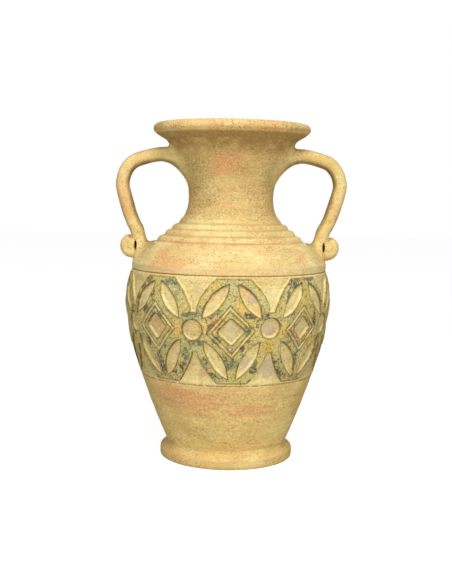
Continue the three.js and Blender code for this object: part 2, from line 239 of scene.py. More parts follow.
def foot_outline():
    """A round lower edge, a short upright face, and a cove up to the waist."""
    edge_top = 7.8
    cove = lerp(8.5, WAIST_Z, 0.45)
    return joined(
        curve((FOOT_BASE_RADIUS, 0), (FOOT_RADIUS, 0.4), (FOOT_RADIUS, 4.5)),
        (FOOT_RADIUS, edge_top),
        curve((FOOT_RADIUS, edge_top), (FOOT_RADIUS, cove), (WAIST_RADIUS, cove - 0.5),
              (WAIST_RADIUS, WAIST_Z)),
    )


def lower_wall_outline():
    swell = (WAIST_RADIUS + SILL_RADIUS) / 2 + WALL_SWELL
    middle = (WAIST_Z + FRIEZE_Z) / 2
    return curve((WAIST_RADIUS, WAIST_Z), (swell, middle), (SILL_RADIUS, FRIEZE_Z))


def frieze_outline():
    lower = (BELLY_RADIUS, lerp(FRIEZE_Z, BELLY_Z, 0.58))
    upper = (BELLY_RADIUS, lerp(BELLY_Z, SHOULDER_Z, 0.56))
    return joined(
        curve((SILL_RADIUS, FRIEZE_Z), lower, (BELLY_RADIUS, BELLY_Z), steps=48),
        curve((BELLY_RADIUS, BELLY_Z), upper, (SHOULDER_RADIUS, SHOULDER_Z), steps=32),
    )


def shoulder_outline():
    """A groove, a short upright wall, a round turn inwards, and a slope with throwing ridges."""
    groove = SHOULDER_RADIUS - GROOVE_DEPTH
    turn_in = (SHOULDER_RADIUS - 2, lerp(SHOULDER_EDGE_Z, RIDGE_START[1], 0.26))
    share = np.linspace(0, 1, 160)
    dip = -RIDGE_DEPTH * ((1 - np.cos(2 * np.pi * share * RIDGE_COUNT)) / 2) ** RIDGE_SHARPNESS
    slope = lerp(RIDGE_START, RIDGE_END, share[:, None]) + dip[:, None] * RIDGE_OUT
    return joined(
        curve((groove, SHOULDER_Z), (groove, SHOULDER_Z + 0.5), (SHOULDER_RADIUS, SHOULDER_Z + 0.7),
              (SHOULDER_RADIUS, SHOULDER_Z + 1.8)),
        curve((SHOULDER_RADIUS, SHOULDER_EDGE_Z), turn_in, RIDGE_START),
        slope,
        (THROAT_RADIUS, NECK_Z),
    )


def ridge_dip(outline):
    """How far each point of the shoulder lies under the line over its ridges."""
    offset = outline - RIDGE_START
    along = offset @ RIDGE_ALONG
    return np.where((along > 0) & (along < RIDGE_LENGTH), -(offset @ RIDGE_OUT), 0)


def neck_outline():
    waist = (NECK_RADIUS, NECK_WAIST_Z)
    below = (NECK_RADIUS, lerp(NECK_Z, NECK_WAIST_Z, 0.6))
    above = (NECK_RADIUS, lerp(NECK_WAIST_Z, LIP_Z, 0.38))
    hip = (lerp(NECK_RADIUS, THROAT_RADIUS, 0.3), lerp(NECK_Z, NECK_WAIST_Z, 0.22))
    flare = (lerp(NECK_RADIUS, FLARE_RADIUS, 0.71), lerp(NECK_WAIST_Z, LIP_Z, 0.88))
    return joined(
        curve((THROAT_RADIUS, NECK_Z), hip, below, waist),
        curve(waist, above, flare, (FLARE_RADIUS, LIP_Z), steps=48),
    )


def lip_outline():
    """The cove under the lip, its full round edge, and its crown."""
    bulge = (LIP_RADIUS, LIP_BULGE_Z)
    cove = (FLARE_RADIUS + WALL / 2, lerp(LIP_Z, LIP_BULGE_Z, 0.3))
    below = (LIP_RADIUS, lerp(LIP_Z, LIP_BULGE_Z, 0.62))
    above = (LIP_RADIUS, lerp(LIP_BULGE_Z, TOP_Z, 0.58))
    crown = (lerp(CROWN_RADIUS, LIP_RADIUS, 0.68), TOP_Z)
    return joined(
        curve((FLARE_RADIUS, LIP_Z), cove, below, bulge),
        curve(bulge, above, crown, (CROWN_RADIUS, TOP_Z)),
    )


# The outer face, section by section, and the distance along it to each one's start
OUTLINES = {
    "foot": even(foot_outline()),
    "lower_wall": even(lower_wall_outline()),
    "frieze_band": even(frieze_outline(), FRIEZE_STEP),
    "shoulder": even(shoulder_outline(), RIDGE_STEP),
    "neck": even(neck_outline()),
    "lip": even(lip_outline()),
}
STARTS = dict(zip(OUTLINES, np.cumsum([0] + [track(part)[-1] for part in OUTLINES.values()])))


def outwards(outline):
    """Unit vectors square to an outline, on its right-hand side."""
    along = np.gradient(outline, axis=0)
    along /= np.linalg.norm(along, axis=1, keepdims=True)
    return stacked(along[:, 1], -along[:, 0])


def around(outline, columns=COLUMNS):
    """Points of an outline turned round the axis, of shape (rows, columns, 3), and the turns."""
    turn = np.arange(columns) * 2 * np.pi / columns
    radius, height = outline[:, :1], outline[:, 1:]
    return stacked(radius * np.sin(turn), -radius * np.cos(turn), height), turn


def hand(points, along):
    """How far the potter's hand moved the wall: a slow wobble and fine throwing lines."""
    lines = points.copy()
    lines[..., 2] = along[:, None]
    return (
        WOBBLE * noise(points, 55)
        + THROWING_LINES * noise(lines, (140, 140, 2.6), 1)
        + THROWING_LINES * 0.6 * noise(lines, (90, 90, 1.1), 2)
        + GRAIN * noise(points, 1.7, 3)
    )


def turned_rows(node, columns=COLUMNS, relief=0):
    """Rows of points for a section's hand-made outer face."""
    outline = OUTLINES[node]
    points, turn = around(outline, columns)
    move = hand(points, STARTS[node] + track(outline)) + relief
    out = outwards(outline)
    points[..., :2] += (move * out[:, :1])[..., None] * stacked(np.sin(turn), -np.cos(turn))
    points[..., 2] += move * out[:, 1:]
    return points


def placed(name, data):
    """A new object in the scene."""
    shape = bpy.data.objects.new(name, data)
    bpy.context.scene.collection.objects.link(shape)
    return shape


def mesh_object(name, vertices, quads, triangles=np.empty((0, 3), int)):
    """A smooth-shaded object from vertices in millimetres."""
    height = vertices[:, 2]
    aside = LEAN * (height - LEAN_ABOUT) + SWAY * np.cos(2 * np.pi * height / SWAY_HEIGHT)
    vertices = vertices + np.outer(aside, (1, 0, 0))
    mesh = bpy.data.meshes.new(name)
    mesh.vertices.add(len(vertices))
    mesh.vertices.foreach_set("co", (vertices * MM).astype(np.float32).ravel())
    corners = np.concatenate([quads.ravel(), triangles.ravel()]).astype(np.int32)
    mesh.loops.add(len(corners))
    mesh.loops.foreach_set("vertex_index", corners)
    counts = np.r_[np.full(len(quads), 4), np.full(len(triangles), 3)]
    mesh.polygons.add(len(counts))
    mesh.polygons.foreach_set("loop_start", np.r_[0, np.cumsum(counts)[:-1]].astype(np.int32))
    mesh.polygons.foreach_set("use_smooth", np.ones(len(counts), bool))
    mesh.update(calc_edges=True)
    mesh.validate()
    return placed(name, mesh)


def lathe_quads(rows, ring):
    """Faces between neighbouring rows, and from the last to the first in a ring."""
    count, columns = rows.shape[:2]
    i = np.arange(count if ring else count - 1)[:, None]
    j = np.arange(columns)
    after, beside = (i + 1) % count, (j + 1) % columns
    row, after = i * columns, after * columns
    return stacked(row + j, row + beside, after + beside, after + j).reshape(-1, 4)


def lathe(name, rows):
    """A ring-shaped object from rows that go once round its section."""
    return mesh_object(name, rows.reshape(-1, 3), lathe_quads(rows, True))


def capped_lathe(name, rows):
    """A closed object from rows that start and end near the axis."""
    count, columns = rows.shape[:2]
    poles = [[0, 0, rows[0, 0, 2]], [0, 0, rows[-1, 0, 2]]]
    vertices = np.vstack([rows.reshape(-1, 3), poles])
    j = np.arange(columns)
    beside = (j + 1) % columns
    pole = np.full(columns, count * columns)
    top = (count - 1) * columns
    fans = np.vstack([stacked(pole, beside, j), stacked(pole + 1, top + j, top + beside)])
    return mesh_object(name, vertices, lathe_quads(rows, False), fans)


def give(shape, name, values, kind="FLOAT", field="value"):
    """Numbers or colours for a material on a shape's first vertices, and 0 on the rest."""
    attribute = shape.data.attributes.new(name, kind, "POINT")
    numbers = np.zeros(len(attribute.data) * (4 if kind == "FLOAT_COLOR" else 1), np.float32)
    numbers[:values.size] = values.ravel()
    attribute.data.foreach_set(field, numbers)


def seat(radius):
    """Inner radius of the rebate round the tongue on a section of this outer radius."""
    return radius - WALL + TONGUE + JOINT_GAP


def wall_rows(node, radius_below, columns=COLUMNS, relief=0, lining=None):
    """A wall section: outer face, the tongue on its top, its lining, and the rebate underneath."""
    outer = OUTLINES[node]
    bottom, top = outer[0], outer[-1]
    ceiling = bottom[1] + TONGUE + JOINT_GAP
    tongue = top[0] - WALL + TONGUE
    if lining is None:
        lining = outer[(outer[:, 1] >= ceiling) & (outer[:, 1] <= top[1] - 1)][::-1] - [WALL, 0]
    inside = joined(
        (tongue, top[1]), (tongue, top[1] + TONGUE),
        even(joined((top[0] - WALL, top[1] + TONGUE), lining), INNER_STEP),
        (seat(radius_below), ceiling), (seat(radius_below), bottom[1]),
    )
    return np.concatenate([turned_rows(node, columns, relief), around(inside, columns)[0]])


def make_foot():
    """The foot, with a recess underneath and a boss that is the vase's floor."""
    boss, floor = WAIST_RADIUS - WALL + TONGUE, WAIST_Z + TONGUE
    under = even(joined((CAP_RADIUS, RECESS_DEPTH), (RECESS_RADIUS, RECESS_DEPTH), (RECESS_RADIUS + 2.2, 0.4),
                        (RECESS_RADIUS + 3, 0), (FOOT_BASE_RADIUS - 0.5, 0)), INNER_STEP)
    over = even(joined((boss, WAIST_Z), (boss, floor), (CAP_RADIUS, floor)), INNER_STEP)
    rows = np.concatenate([around(under)[0], turned_rows("foot"), around(over)[0]])
    rows[..., 2] = np.maximum(rows[..., 2], 0)
    return capped_lathe("vase_foot", rows)


def make_lower_wall():
    return lathe("vase_lower_wall", wall_rows("lower_wall", WAIST_RADIUS))


def make_shoulder():
    """The shoulder, which says how deep in a throwing groove each place lies, for the painted shade there."""
    throat, belly = THROAT_RADIUS - WALL, SHOULDER_RADIUS - WALL
    low_throat = (throat, NECK_Z - TONGUE)
    lining = joined(low_throat, curve(low_throat, (78, NECK_Z - 22), (belly, SHOULDER_Z + 16.6),
                                      (belly, SHOULDER_Z + TONGUE + JOINT_GAP + 1.5)))
    rows = wall_rows("shoulder", SHOULDER_RADIUS, lining=lining)
    shape = lathe("vase_shoulder", rows)
    outer = OUTLINES["shoulder"]
    rows = rows[:len(outer)]
    # Mask for painted shade in the throwing grooves, broken up
    hollow = np.maximum(0, ridge_dip(outer)) / RIDGE_DEPTH
    broken = 0.7 + 0.5 * noise(rows, (30, 30, 6), 60) + 0.35 * noise(rows, (9, 9, 2), 61)
    give(shape, "groove", smooth(0.5, 1, hollow)[:, None] * broken)
    return shape


def make_neck():
    return lathe("vase_neck", wall_rows("neck", THROAT_RADIUS))


def make_lip():
    bore = seat(FLARE_RADIUS)
    ceiling = LIP_Z + TONGUE + JOINT_GAP
    mouth = curve((CROWN_RADIUS, TOP_Z), (bore + 5.5, TOP_Z), (bore + 0.4, ceiling + 4),
                  (bore - 3.5, ceiling))
    inside = joined(even(mouth, MOUTH_STEP)[1:], (bore, ceiling), (bore, LIP_Z))
    return lathe("vase_lip", np.concatenate([turned_rows("lip"), around(inside)[0]]))


# The frieze is drawn flat: x in mm round the belly from a motif's middle, y from mid height
def leaf(x, y, start, end, width):
    """Distance to a pointed oval between two tips, which are complex numbers. It is below 0 inside."""
    half = abs(end - start) / 2
    place = (x + 1j * y - (start + end) / 2) * (end - start).conjugate() / (2 * half)
    along, across = np.abs(place.real), np.abs(place.imag)
    sagitta = width / 2
    radius = (half * half + sagitta * sagitta) / (2 * sagitta)
    arc = np.hypot(along, across + radius - sagitta) - radius
    return np.where(along > half, np.hypot(along - half, across), arc)


def diamond(x, y, wide, high, round_by):
    """Distance to a lozenge with softened corners, below 0 inside."""
    wide, high = wide - round_by, high - round_by
    ax, ay = np.abs(x), np.abs(y)
    length = math.hypot(wide, high)
    across = (ax * high + ay * wide - wide * high) / length
    along = np.clip((high * high - ay * high + ax * wide) / length ** 2, 0, 1)
    corner = np.hypot(ax - wide * along, ay - high * (1 - along))
    return np.where(across < 0, across, corner) - round_by


def spandrel(x, y, tip, base):
    """Rough distance to a triangle with hollow sides and its base along a rim."""
    up = math.copysign(1, base - tip)
    share = np.clip((y - tip) / (base - tip), 0, 1)
    half = 2.6 + 25.6 * share ** 1.6
    slope = 41 * share ** 0.6 / abs(base - tip)
    side = (np.abs(x) - half) / np.sqrt(1 + slope ** 2)
    ends = np.maximum((tip - y) * up, (y - base) * up)
    return np.maximum(side, ends)


def swung(turn, degrees):
    """Radians from the place at this many degrees, at most half a turn either way."""
    return (turn - math.radians(degrees) + math.pi) % (2 * math.pi) - math.pi


def chart(turn, degrees):
    """Millimetres round the belly from the place at this many degrees."""
    return swung(turn, degrees) * BELLY_RADIUS


def carving(turn, height):
    """Distances to the frieze's cuts, by kind and to the nearest, to its ribs, and inwards from its rims."""
    rise = (SHOULDER_Z - UPPER_RIM - FRIEZE_Z - LOWER_RIM) / 2
    y = height - (FRIEZE_Z + LOWER_RIM + rise)
    place = stacked(np.sin(turn) * WANDER_RADIUS, np.cos(turn) * WANDER_RADIUS, height)
    wander = 0.6 * noise(place, 11, 5) + 0.3 * noise(place, 4.5, 6)
    petals, hearts, ribs, discs, grounds = [], [], [], [], []
    for group, lozenge, lift, tilt, share in GROUPS:
        x = chart(turn, group)
        for side in (-1, 1):
            for up, end in PETAL_ENDS:
                tips = (complex(side * PETAL_TIP + PETALS_ASIDE, up * (rise - PETAL_RIM)),
                        complex(side * PETAL_REACH, up * end))
                petals.append(leaf(x, y, *tips, PETAL_WIDTH) + wander)
        across, along = math.cos(math.radians(tilt)) / share, math.sin(math.radians(tilt)) / share
        x, z = chart(turn, lozenge), y - lift
        x, z = x * across + z * along, z * across - x * along
        hearts.append(diamond(x, z - HEART_LIFT, *HEART) * share + wander * 0.7)
        ribs.append(diamond(x, z, *RIB) * share + wander * 0.7)
    for degrees, lift in DISCS:
        x = chart(turn, degrees)
        discs.append(np.hypot(x, y - lift) - DISC_RADIUS + wander * 0.6)
        for up in (-1, 1):
            ends = up * SPANDREL_TIP, up * (rise + SPANDREL_BASE)
            grounds.append(spandrel(x - SPANDREL_ASIDE, y, *ends) + wander)
    cuts = {"petal": petals, "heart": hearts, "disc": discs, "ground": grounds}
    cuts = {kind: np.minimum.reduce(distances) for kind, distances in cuts.items()}
    carved = np.minimum.reduce(list(cuts.values()))
    return cuts, carved, np.minimum.reduce(ribs), np.minimum(rise - y, rise + y)


def rib_grooves(rib):
    """1 in the two grooves along a rib."""
    return bell(rib, GROOVE_WIDTH) + bell(rib + 2 * RIB_INSET, GROOVE_WIDTH)


def frieze_relief(cuts, carved, rib, inside):
    """How far the carved face lies from the wall's own. The cuts run out at the rims."""
    depth = np.zeros_like(rib)
    for kind, distance in cuts.items():
        deep = SPANDREL_DEPTH if kind == "ground" else RELIEF_DEPTH
        pillow = PILLOW * smooth(1.5, 6, -distance)
        lower = smooth(0.1, 0.7, -np.gradient(distance, axis=0) / FRIEZE_STEP)
        bevel = lerp(CUT_SOFTNESS * 0.6, LOWER_BEVEL * (1 if kind == "petal" else OTHER_BEVELS), lower)
        depth = np.minimum(depth, -deep * smooth(-CUT_SOFTNESS, bevel, -distance - 0.3) + pillow)
    ridge = RIB_HEIGHT * bell(rib + RIB_INSET, RIB_INSET / 2)
    lines = (ridge - RIB_GROOVES * rib_grooves(rib)) * smooth(0, 2.4, carved)
    return depth * smooth(-1.5, 7, inside) + lines


# Colours of the washes
PITCH = (0.04, 0.055, 0.038)
SLATE = (0.13, 0.15, 0.075)
TEAL = (0.1, 0.15, 0.105)
INK = (0.055, 0.05, 0.06)
BROWN = (0.2, 0.09, 0.03)
OCHRE = (0.66, 0.42, 0.06)
ORANGE = (0.6, 0.22, 0.06)
APRICOT = (0.84, 0.52, 0.13)
GREEN = (0.54, 0.45, 0.095)
MOSS = (0.44, 0.44, 0.18)
LILAC = (0.42, 0.34, 0.32)
SAGE = (0.56, 0.56, 0.34)
ROSE = (0.62, 0.30, 0.2)

# Colours of the clay, of what lies on it, and of painted light and shade
PALE = (0.88, 0.72, 0.31)
BUFF = (0.74, 0.54, 0.2)
PINK = (0.82, 0.42, 0.17)
TERRACOTTA = (0.52, 0.17, 0.065)
OLIVE = (0.42, 0.35, 0.1)
UMBER = (0.16, 0.1, 0.035)
RUST_BROWN = (0.25, 0.115, 0.03)
CREAM = (0.95, 0.79, 0.38)
# Painted shade under the lip, on its underside and on the neck's top
UNDER_LIP_SHADE = (0.33, 0.195, 0.052)
# Painted highlight for the shoulder's upright wall, which the overhead light leaves darker
SHOULDER_WALL_LIGHT = (0.95, 0.74, 0.34)
LOOP_SHADE = (0.22, 0.15, 0.055)
EYE_SHADOW = (0.03, 0.022, 0.008)
YELLOW_CRUMB = (0.85, 0.74, 0.28)
WORN_RIDGE = (0.88, 0.72, 0.38)
GLINT = (0.95, 0.8, 0.36)
INCISED_AND_SHADE = (0.07, 0.05, 0.015)
FIRED_RED = (0.42, 0.19, 0.06)

# Random patches of wash: colour, size in mm, seed, rarity, and how strongly they cover
PATCHES = [
    (MOSS, 14, 6, 0.05, 0.7), (OCHRE, 15, 7, 0.2, 0.55), (SLATE, 9, 8, 0.40, 0.6),
    (PITCH, 7, 9, 0.50, 0.75), (ORANGE, 8, 10, 0.58, 0.6),
]
FLOOR_PATCHES = [(SAGE, 12, 11, 0.2, 0.3), (ROSE, 9, 12, 0.42, 0.35), (LILAC, 8, 13, 0.42, 0.35)]

# Placed washes: turn and height of the middle, half width and half height in mm, and colour
WASHES = [
    (-49, 192, 8, 3, INK), (-53, 186, 5, 5, INK), (-57, 177, 4, 7, INK), (-33, 191, 9, 3.5, TEAL),
    (-49, 163, 4, 6, PITCH), (-43.6, 179, 3, 8, BROWN), (-38, 158, 5, 4, SLATE),
    (-28, 172, 3, 6, MOSS), (-18.8, 160.6, 9, 2.8, TEAL), (-5, 163.5, 5, 3, TEAL),
    (-8.6, 159.5, 3, 2, BROWN), (-4.6, 156, 6, 2.6, ORANGE), (-8.6, 150.5, 4, 2.4, BROWN),
    (-12.4, 149, 4, 9, APRICOT), (2, 192, 10, 3, MOSS), (7.8, 168.5, 6, 5, APRICOT),
    (12.2, 160.5, 6.5, 3, INK), (20, 159.5, 4, 4, PITCH), (10, 147, 3, 4.5, TEAL), (37.5, 189, 7, 6, INK),
    (49, 194, 10, 2.4, TEAL), (30, 149, 3.5, 9, APRICOT), (47.3, 178, 3, 9, OCHRE), (27.6, 174, 3, 8, OCHRE),
    (22.3, 131.5, 6, 7, OCHRE), (8.1, 129.5, 3, 4, PITCH), (-5.5, 136.5, 4, 4, TEAL),
    (-0.8, 113, 5, 9, TEAL), (1.9, 122.5, 3, 3, ORANGE), (-12, 112, 3, 8, SLATE), (-8, 101, 6, 4, PITCH),
    (14.9, 108, 4, 6, PITCH), (32, 100, 8, 6, INK), (27.5, 110, 3, 10, PITCH),
    (37.2, 116, 2.4, 7, ORANGE), (42.5, 114, 5, 7, TEAL), (-23.5, 121, 4.5, 8, TEAL),
    (-26, 109, 4, 6, PITCH), (-32, 103, 4, 3, INK), (-24.5, 102.5, 2.4, 6, ORANGE),
    (-17.2, 134, 8, 3.5, TEAL), (-41, 108, 4, 12, INK), (-48.5, 131, 4, 7, INK), (54, 150, 4, 12, PITCH),
    (60, 120, 5, 9, INK), (-63, 150, 5, 16, SLATE), (64, 180, 5, 10, PITCH), (-27, 149, 4, 9, APRICOT),
    (0.8, 176, 4.5, 9, MOSS), (1.5, 112, 7, 6, SLATE), (34, 176, 3, 7, SLATE), (36, 163, 4, 3, BROWN),
    (-44, 150, 5, 3, OCHRE), (-40, 136, 4, 4, OCHRE), (46, 138, 4, 5, GREEN), (3.6, 134.5, 5, 3, MOSS),
]
FLOOR_WASHES = [
    (2, 147, 9, 9, SAGE), (22.8, 147.5, 8, 7.5, LILAC), (-8.4, 176, 2.4, 2, ROSE), (10.5, 115, 5, 7, LILAC),
    (-12, 122, 3, 8, OCHRE), (-0.8, 101, 4, 5, ROSE), (-31, 185, 3, 7, LILAC), (24.5, 108, 11, 12, LILAC),
    (13, 178, 5, 7, LILAC), (-11, 116, 5, 8, SAGE), (-22, 112, 5, 6, ROSE), (44.5, 149, 6, 7, SAGE),
    (-41.5, 149, 6, 7, ROSE),
]

# How strongly washes cover: the ribbons' ground, placed washes there and on floors, and pooled dark wash
GROUND_COVER = 0.7
RIBBON_COVER = 0.9
FLOOR_COVER = 0.5
POOL_COVER = 0.85
POOLED = 0.7

# Pinker places on the vase: turn and height of the middle, half width and half height in mm, and strength
BLUSHES = [
    (-46, 217, 11, 5, 1.3), (-38, 206, 28, 9, 1.5), (-10, 203, 40, 4, 1), (-30, 227.5, 60, 1.6, 1),
    (35, 229, 40, 1.4, 0.7), (48, 214, 12, 7, 0.7), (25, 200.5, 45, 2.6, 0.7), (-3, 306, 20, 12, 1.9),
    (-24, 297, 9, 11, 0.9), (-4, 278, 10, 8, 0.6), (-28, 73, 36, 10, 2.2), (17, 63, 24, 8, 2),
    (-20, 58, 30, 5, 1), (-5, 78, 80, 12, 0.7), (-8, 262, 34, 7, 0.9), (0, 282, 20, 5, 0.7),
    (-12, 236, 60, 3, 0.5), (12, 219, 30, 5, 0.5), (10, 86, 60, 3, 0.5), (30, 346, 30, 4, 0.6),
    (-40, 344, 30, 5, 0.6), (-30, 5, 24, 4, 0.6), (-92, 272, 40, 26, 0.75), (90, 262, 25, 15, 0.6),
    (150, 210, 80, 9, 0.8), (200, 60, 70, 14, 0.8), (170, 300, 30, 16, 0.8), (120, 76, 40, 9, 0.7),
]
# Darker and greyer places, in the same way: partly the clay's own olive-grey, partly painted shade down the
# sides as the camera sees them
SOILS_AND_SHADE = [
    (-48, 296, 20, 24, 0.7), (52, 304, 12, 20, 0.5), (14, 298, 10, 10, 0.6), (-22, 38, 26, 8, 0.4),
    (-38, 266, 14, 9, 0.6), (-66, 214, 14, 12, 0.6), (66, 214, 12, 12, 0.5), (4, 258, 50, 5, 0.55),
    (-16, 324, 9, 4, 0.8), (22, 327, 14, 4, 0.6), (-30, 270, 12, 9, 0.5), (-20, 254, 16, 4, 0.5),
    (8, 271, 12, 4, 0.4), (-70, 60, 16, 40, 0.4), (70, 60, 16, 40, 0.3), (-60, 345, 10, 8, 0.6),
    (55, 340, 14, 7, 0.5), (0, 1, 200, 2.4, 0.4), (-80, 150, 14, 50, 0.5), (80, 150, 14, 50, 0.5),
    (180, 280, 40, 20, 0.4),
]


def washed(points, turn, ground, cover, patches, washes):
    """Colour of the washes over the band, and as a fourth number how strongly they cover."""
    height = points[..., 2]
    colour = np.ones(points.shape[:-1] + (4,)) * ground
    for tint, scale, seed, rare, strength in patches:
        ragged = 0.45 * noise(points, 2.2, seed + 20)
        share = smooth(rare, rare + 0.3, noise(points, scale, seed) + ragged)
        colour = lerp(colour, np.array([*tint, strength]), share[..., None])
    ragged = 0.4 * noise(points, 3.5, 30) + 0.2 * noise(points, 1.8, 31)
    for degrees, middle, wide, high, tint in washes:
        spread = np.hypot(chart(turn, degrees) / wide, (height - middle) / high) + ragged
        share = smooth(1.25, 0.75, spread)
        colour = lerp(colour, np.array([*tint, cover]), share[..., None])
    return colour


def frieze_paint(flat, turn, carved, ribbon):
    """The washes: strong on ribbons, dark beside the cuts, and thin on their floors."""
    on_ribbons = washed(flat, turn, (*GREEN, GROUND_COVER), RIBBON_COVER, PATCHES, WASHES)
    pooled = POOLED * bell(carved - 0.8, 1.2) * smooth(-0.15, 0.45, noise(flat, 8, 33))
    on_ribbons = lerp(on_ribbons, np.array([*PITCH, POOL_COVER]), pooled[..., None])
    on_floors = washed(flat, turn, (*BUFF, 0), FLOOR_COVER, FLOOR_PATCHES, FLOOR_WASHES)
    on_floors[..., 3] *= smooth(0.4, 2, -carved)
    return lerp(on_floors, on_ribbons, ribbon[..., None])


def frieze_marks(carved, petal, rib, inside):
    """Where the frieze has ribbons, ribs, dark outlines that are drawn lines with painted shade on upper
    edges, and painted highlights on lower walls.
    """
    slope = np.gradient(carved, axis=0) / FRIEZE_STEP
    ribbon = smooth(-0.3, 0.7, carved) * smooth(-0.4, 0.8, inside)
    grooves = 0.75 * rib_grooves(rib) * ribbon
    # Dark outline round each cut, a little stronger on its upper edge as painted shade
    edge = bell(carved - 0.25, 0.6) * smooth(-0.5, 1, inside) * lerp(0.85, 1, smooth(-0.3, 0.5, slope))
    border = 0.8 * bell(inside - 0.3, 0.6) * smooth(-0.5, 0.5, carved)
    in_petals = lerp(0.35, 1, smooth(0.5, -0.5, petal))
    return {
        "ribbon": ribbon,
        "ridge": bell(rib + RIB_INSET, 1.1) * ribbon,
        "line": np.maximum.reduce([grooves, edge, border]),
        "lit": bell(carved + 1.5, 0.9) * smooth(0.1, 0.7, -slope) * in_petals,
    }


def make_frieze():
    """The carved band, which says for its outer face how it is washed and marked."""
    outer = OUTLINES["frieze_band"]
    flat, turn = around(outer, FRIEZE_COLUMNS)
    cuts, carved, rib, inside = carving(turn, outer[:, 1:])
    relief = frieze_relief(cuts, carved, rib, inside)
    rows = wall_rows("frieze_band", SILL_RADIUS, FRIEZE_COLUMNS, relief)
    shape = lathe("vase_frieze_band", rows)
    marks = frieze_marks(carved, cuts["petal"], rib, inside)
    for mark, values in marks.items():
        give(shape, mark, values)
    give(shape, "paint", frieze_paint(flat, turn, carved, marks["ribbon"]), "FLOAT_COLOR", "color")
    return shape


# Handles: a strap swept along a spine in the XZ plane, melted into the pot's face
STRAP_THICKNESS = 14.2
STRAP_WIDTH = 22
SQUARENESS = 2.6
LOOP_X = 76
LOOP_Z = 266
CURL_X = SHOULDER_RADIUS + 0.4
CURL_Z = SHOULDER_Z + 23.5
CURL_RADIUS = 7.2
CURL_THICKNESS = 11
CURL_TURN = range(185, 414, 19)

# How far the strap melts into what it meets, and how far it runs into the pot's wall
NECK_MELT = 13
SHOULDER_MELT = 20
CURL_MELT = 5
SKIN = 2.6

# What fills the curl's eye, and the slit that it leaves beside the strap
WEB_HALF = 4
PLUG_X = CURL_X + 1.6
PLUG_RADIUS = 9.6
PLUG_HALF = 11
SLIT_X = CURL_X - 4.1
SLIT_Z = CURL_Z + 0.8
SLIT_WIDTH = 1.1
SLIT_HEIGHT = 4.2
SLIT_BED = 6

# The handle's grid, and the table of the pot's distances
VOXEL = 0.8
GRID_X = 34
GRID_Y = 34
TABLE_STEP = 0.5
TABLE_RADII = np.arange(20, 135, TABLE_STEP)


def spine_stations():
    """Places along the strap's spine: x, z, thickness and width."""
    neck, limb = NECK_RADIUS, HANDLE_REACH - STRAP_THICKNESS / 2
    thick, wide = STRAP_THICKNESS, STRAP_WIDTH
    stations = [
        (neck - 8, LIP_Z - 22.2, 37, 42), (neck + 3, LIP_Z - 18.8, 28.5, 38),
        (neck + 12, LIP_Z - 16.8, 21.5, 32), (neck + 21, LIP_Z - 15.8, 16, 27),
        (neck + 33, LIP_Z - 15.2, 14.6, 23.5),
    ]
    for place in ((limb - 14.8, LIP_Z - 20.9), (limb - 5.3, LIP_Z - 28.9), (limb - 0.6, LIP_Z - 39.9),
                  (limb - 0.4, LIP_Z - 50.4), (limb - 6.5, CURL_Z + 38), (limb - 11.3, CURL_Z + 25.5),
                  (CURL_X - 4.8, CURL_Z + 15.5)):
        stations.append((*place, thick, wide))
    for degrees in CURL_TURN:
        angle = math.radians(degrees)
        x, z = CURL_X + CURL_RADIUS * math.cos(angle), CURL_Z + CURL_RADIUS * math.sin(angle)
        share = min(1, (degrees - CURL_TURN.start) / 90)
        stations.append((x, z, lerp(thick - 1, CURL_THICKNESS, share), wide))
    return np.array(stations, float)


def spline(points, per_span=14):
    """A Catmull-Rom curve through all the points."""
    padded = np.vstack([2 * points[0] - points[1], points, 2 * points[-1] - points[-2]])
    t = np.linspace(0, 1, per_span, endpoint=False)[:, None]
    spans = []
    for a, b, c, d in zip(padded, padded[1:], padded[2:], padded[3:]):
        spans.append(b + 0.5 * t * (c - a + t * (2 * a - 5 * b + 4 * c - d + t * (3 * (b - c) + d - a))))
    return np.vstack(spans + [points[-1:]])


SPINE = spline(spine_stations())
POT = np.vstack([OUTLINES["frieze_band"], OUTLINES["shoulder"][4:], OUTLINES["neck"], OUTLINES["lip"]])


def nearest(places, points, allowance=0):
    """The number of the point nearest to each place, points seeming nearer by their allowance."""
    near = []
    for chunk in np.array_split(places.reshape(-1, 2), 1 + places.size // 20000):
        away = np.linalg.norm(chunk[:, None, :] - points, axis=2)
        near.append((away - allowance).argmin(1))
    return np.concatenate(near).reshape(places.shape[:-1])


def pot_distance(radius, height):
    """Signed distance to the pot's outer face, above 0 outside."""
    places = stacked(radius, height)
    near = nearest(places, POT)
    offset = places - POT[near]
    return np.linalg.norm(offset, axis=-1) * np.sign((offset * outwards(POT)[near]).sum(-1))


def strap_section(x, z):
    """Distance in the XZ plane to the strap's spine, and its half thickness and half width there."""
    places = stacked(x, z)
    near = SPINE[nearest(places, SPINE[:, :2], SPINE[:, 2] / 2)]
    return np.linalg.norm(places - near[..., :2], axis=-1), near[..., 2] / 2, near[..., 3] / 2


def strap_distance(away, thick, wide, y):
    """Rough distance to a strap whose section is a softened oblong."""
    power = SQUARENESS
    ratio = ((away / thick) ** power + (np.abs(y) / wide) ** power) ** (1 / power)
    return (ratio - 1) * np.minimum(thick, wide)


def melted(a, b, blend):
    """Both shapes at once, with a soft hollow where they meet."""
    share = np.maximum(blend - np.abs(a - b), 0) / blend
    return np.minimum(a, b) - share ** 3 * blend / 6


def handle_field(strap, pot, x, z, rough):
    """Below 0 inside a handle, which runs a little way into the pot's wall and fades out on its face."""
    blend = lerp(SHOULDER_MELT, NECK_MELT, smooth(NECK_Z - 12, NECK_Z + 15, z))
    blend = lerp(blend, CURL_MELT, smooth(CURL_X - 6, CURL_X, x))
    outside = melted(strap, pot + 0.25, blend) + rough
    return np.maximum.reduce([outside, -(pot + SKIN), strap - blend])


